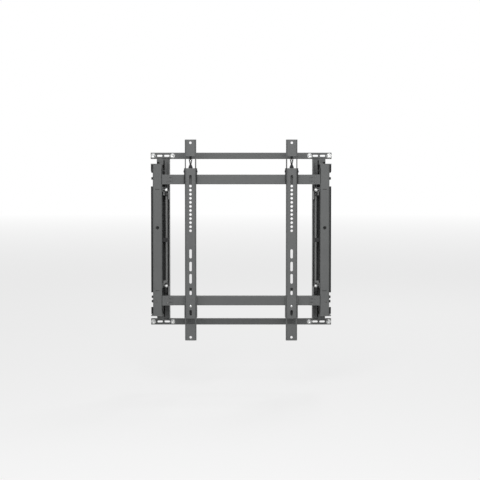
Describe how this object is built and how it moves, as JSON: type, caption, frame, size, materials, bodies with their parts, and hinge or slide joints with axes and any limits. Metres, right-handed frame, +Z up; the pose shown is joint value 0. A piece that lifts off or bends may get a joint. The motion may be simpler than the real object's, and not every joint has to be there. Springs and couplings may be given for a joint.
{
  "type": "tv wall mount",
  "caption": "Push-in pop-out wall mount for a portrait display: wall frame, side scissor arms, latched display frame and sliding perforated adapters with height screws.",
  "frame": {"origin": "centre of the pattern of wall screws, on the wall plane", "axes": "+Z up, +X to the viewer's right, +Y into the wall, so the display side faces -Y"},
  "size_m": [0.57, 0.16, 0.62],
  "materials": {
    "powder": "dark grey powder coat",
    "arm_black": "black satin",
    "zinc": "bright zinc",
    "latch_steel": "grey satin",
    "rubber": "matte",
    "nylon": "black nylon"
  },
  "bodies": {
    "wall_frame": {"wall_rail_top": "powder", "wall_rail_bottom": "powder", "wall_upright_left": "powder", "wall_upright_right": "powder", "corner_brackets": "powder", "stop_buffers": "rubber", "wall_screws": "zinc", "wall_pivot_pins": "arm_black"},
    "outer_arm_left": {"outer_arm_left": "arm_black", "centre_rivet_left": "arm_black", "outer_arm_roller_left": "nylon"},
    "inner_arm_left": {"inner_arm_left": "arm_black", "inner_arm_roller_left": "nylon"},
    "outer_arm_right": {"outer_arm_right": "arm_black", "centre_rivet_right": "arm_black", "outer_arm_roller_right": "nylon"},
    "inner_arm_right": {"inner_arm_right": "arm_black", "inner_arm_roller_right": "nylon"},
    "display_frame": {"front_upright_left": "powder", "front_upright_right": "powder", "hang_rail_top": "powder", "hang_rail_bottom": "powder", "end_plates": "powder", "rail_end_brackets": "powder", "side_bolts": "arm_black", "front_screws": "latch_steel", "face_screws": "arm_black", "display_pivot_pins": "arm_black", "latch_plates": "powder", "latch_pivot_bolts": "latch_steel", "rod_guides": "nylon"},
    "latch_rod_left": {"latch_rod_left": "latch_steel"},
    "latch_hook_top_left": {"latch_hook_top_left": "arm_black"},
    "latch_hook_bottom_left": {"latch_hook_bottom_left": "arm_black"},
    "hook_block_left": {"hook_block_left": "arm_black"},
    "adapter_left": {"adapter_left": "powder", "lift_nut_left": "powder", "guide_rivets_left": "arm_black", "catch_carrier_left": "arm_black", "catch_pins_left": "zinc", "catch_screw_left": "arm_black"},
    "height_knob_left": {"height_knob_left": "nylon", "height_screw_left": "zinc"},
    "bottom_catch_left": {"bottom_catch_left": "powder"},
    "latch_rod_right": {"latch_rod_right": "latch_steel"},
    "latch_hook_top_right": {"latch_hook_top_right": "arm_black"},
    "latch_hook_bottom_right": {"latch_hook_bottom_right": "arm_black"},
    "hook_block_right": {"hook_block_right": "arm_black"},
    "adapter_right": {"adapter_right": "powder", "lift_nut_right": "powder", "guide_rivets_right": "arm_black", "catch_carrier_right": "arm_black", "catch_pins_right": "zinc", "catch_screw_right": "arm_black"},
    "height_knob_right": {"height_knob_right": "nylon", "height_screw_right": "zinc"},
    "bottom_catch_right": {"bottom_catch_right": "powder"}
  },
  "joints": [
    {"name": "popout_left", "type": "hinge", "parent": "wall_frame", "child": "outer_arm_left", "pos_m": [-0.23075, -0.022, -0.187], "axis": [1, 0, 0], "range_deg": [0, 42.26]},
    {"name": "scissor_left", "type": "hinge", "parent": "outer_arm_left", "child": "inner_arm_left", "pos_m": [-0.236, -0.041, 0.00205], "axis": [1, 0, 0], "range_deg": [-84.52, 0]},
    {"name": "popout_right", "type": "hinge", "parent": "wall_frame", "child": "outer_arm_right", "pos_m": [0.23075, -0.022, -0.187], "axis": [1, 0, 0], "range_deg": [0, 42.26]},
    {"name": "scissor_right", "type": "hinge", "parent": "outer_arm_right", "child": "inner_arm_right", "pos_m": [0.236, -0.041, 0.00205], "axis": [1, 0, 0], "range_deg": [-84.52, 0]},
    {"name": "display_pivot", "type": "hinge", "parent": "inner_arm_left", "child": "display_frame", "pos_m": [-0.24125, -0.06, -0.187], "axis": [1, 0, 0], "range_deg": [0, 42.26]},
    {"name": "latch_left", "type": "slide", "parent": "display_frame", "child": "latch_rod_left", "axis": [0, 0, -1], "range_m": [0, 0.003]},
    {"name": "hook_top_left", "type": "hinge", "parent": "display_frame", "child": "latch_hook_top_left", "pos_m": [-0.232, -0.0848, 0.155], "axis": [0, -1, 0], "range_deg": [0, 24.2]},
    {"name": "hook_bottom_left", "type": "hinge", "parent": "display_frame", "child": "latch_hook_bottom_left", "pos_m": [-0.232, -0.0848, -0.143], "axis": [0, -1, 0], "range_deg": [0, 24.2]},
    {"name": "adapter_slide_left", "type": "slide", "parent": "display_frame", "child": "hook_block_left", "axis": [-1, 0, 0], "range_m": [-0.06, 0.03]},
    {"name": "height_turn_left", "type": "hinge", "parent": "hook_block_left", "child": "height_knob_left", "pos_m": [-0.1558, -0.1015, 0.24], "axis": [0, 0, 1], "range_deg": [-1440, 1440]},
    {"name": "adapter_lift_left", "type": "slide", "parent": "hook_block_left", "child": "adapter_left", "axis": [0, 0, 1], "range_m": [-0.005, 0.005]},
    {"name": "catch_pull_left", "type": "slide", "parent": "adapter_left", "child": "bottom_catch_left", "axis": [0, 0, -1], "range_m": [0, 0.01], "stiffness_N_per_m": 120, "springref_m": -0.006},
    {"name": "latch_right", "type": "slide", "parent": "display_frame", "child": "latch_rod_right", "axis": [0, 0, -1], "range_m": [0, 0.003]},
    {"name": "hook_top_right", "type": "hinge", "parent": "display_frame", "child": "latch_hook_top_right", "pos_m": [0.232, -0.0848, 0.155], "axis": [0, 1, 0], "range_deg": [0, 24.2]},
    {"name": "hook_bottom_right", "type": "hinge", "parent": "display_frame", "child": "latch_hook_bottom_right", "pos_m": [0.232, -0.0848, -0.143], "axis": [0, 1, 0], "range_deg": [0, 24.2]},
    {"name": "adapter_slide_right", "type": "slide", "parent": "display_frame", "child": "hook_block_right", "axis": [1, 0, 0], "range_m": [-0.06, 0.03]},
    {"name": "height_turn_right", "type": "hinge", "parent": "hook_block_right", "child": "height_knob_right", "pos_m": [0.1558, -0.1015, 0.24], "axis": [0, 0, 1], "range_deg": [-1440, 1440]},
    {"name": "adapter_lift_right", "type": "slide", "parent": "hook_block_right", "child": "adapter_right", "axis": [0, 0, 1], "range_m": [-0.005, 0.005]},
    {"name": "catch_pull_right", "type": "slide", "parent": "adapter_right", "child": "bottom_catch_right", "axis": [0, 0, -1], "range_m": [0, 0.01], "stiffness_N_per_m": 120, "springref_m": -0.006}
  ],
  "couplings": [
    {"joint": "scissor_left", "follows": "popout_left", "ratio": -2},
    {"joint": "scissor_right", "follows": "popout_left", "ratio": -2},
    {"joint": "display_pivot", "follows": "popout_left", "ratio": 1},
    {"joint": "popout_right", "follows": "popout_left", "ratio": 1},
    {"joint": "hook_top_left", "follows": "latch_left", "rad_per_m": 140.73},
    {"joint": "hook_bottom_left", "follows": "latch_left", "rad_per_m": 140.73},
    {"joint": "height_turn_left", "follows": "adapter_lift_left", "rad_per_m": 5026.5},
    {"joint": "hook_top_right", "follows": "latch_right", "rad_per_m": 140.73},
    {"joint": "hook_bottom_right", "follows": "latch_right", "rad_per_m": 140.73},
    {"joint": "height_turn_right", "follows": "adapter_lift_right", "rad_per_m": 5026.5}
  ]
}
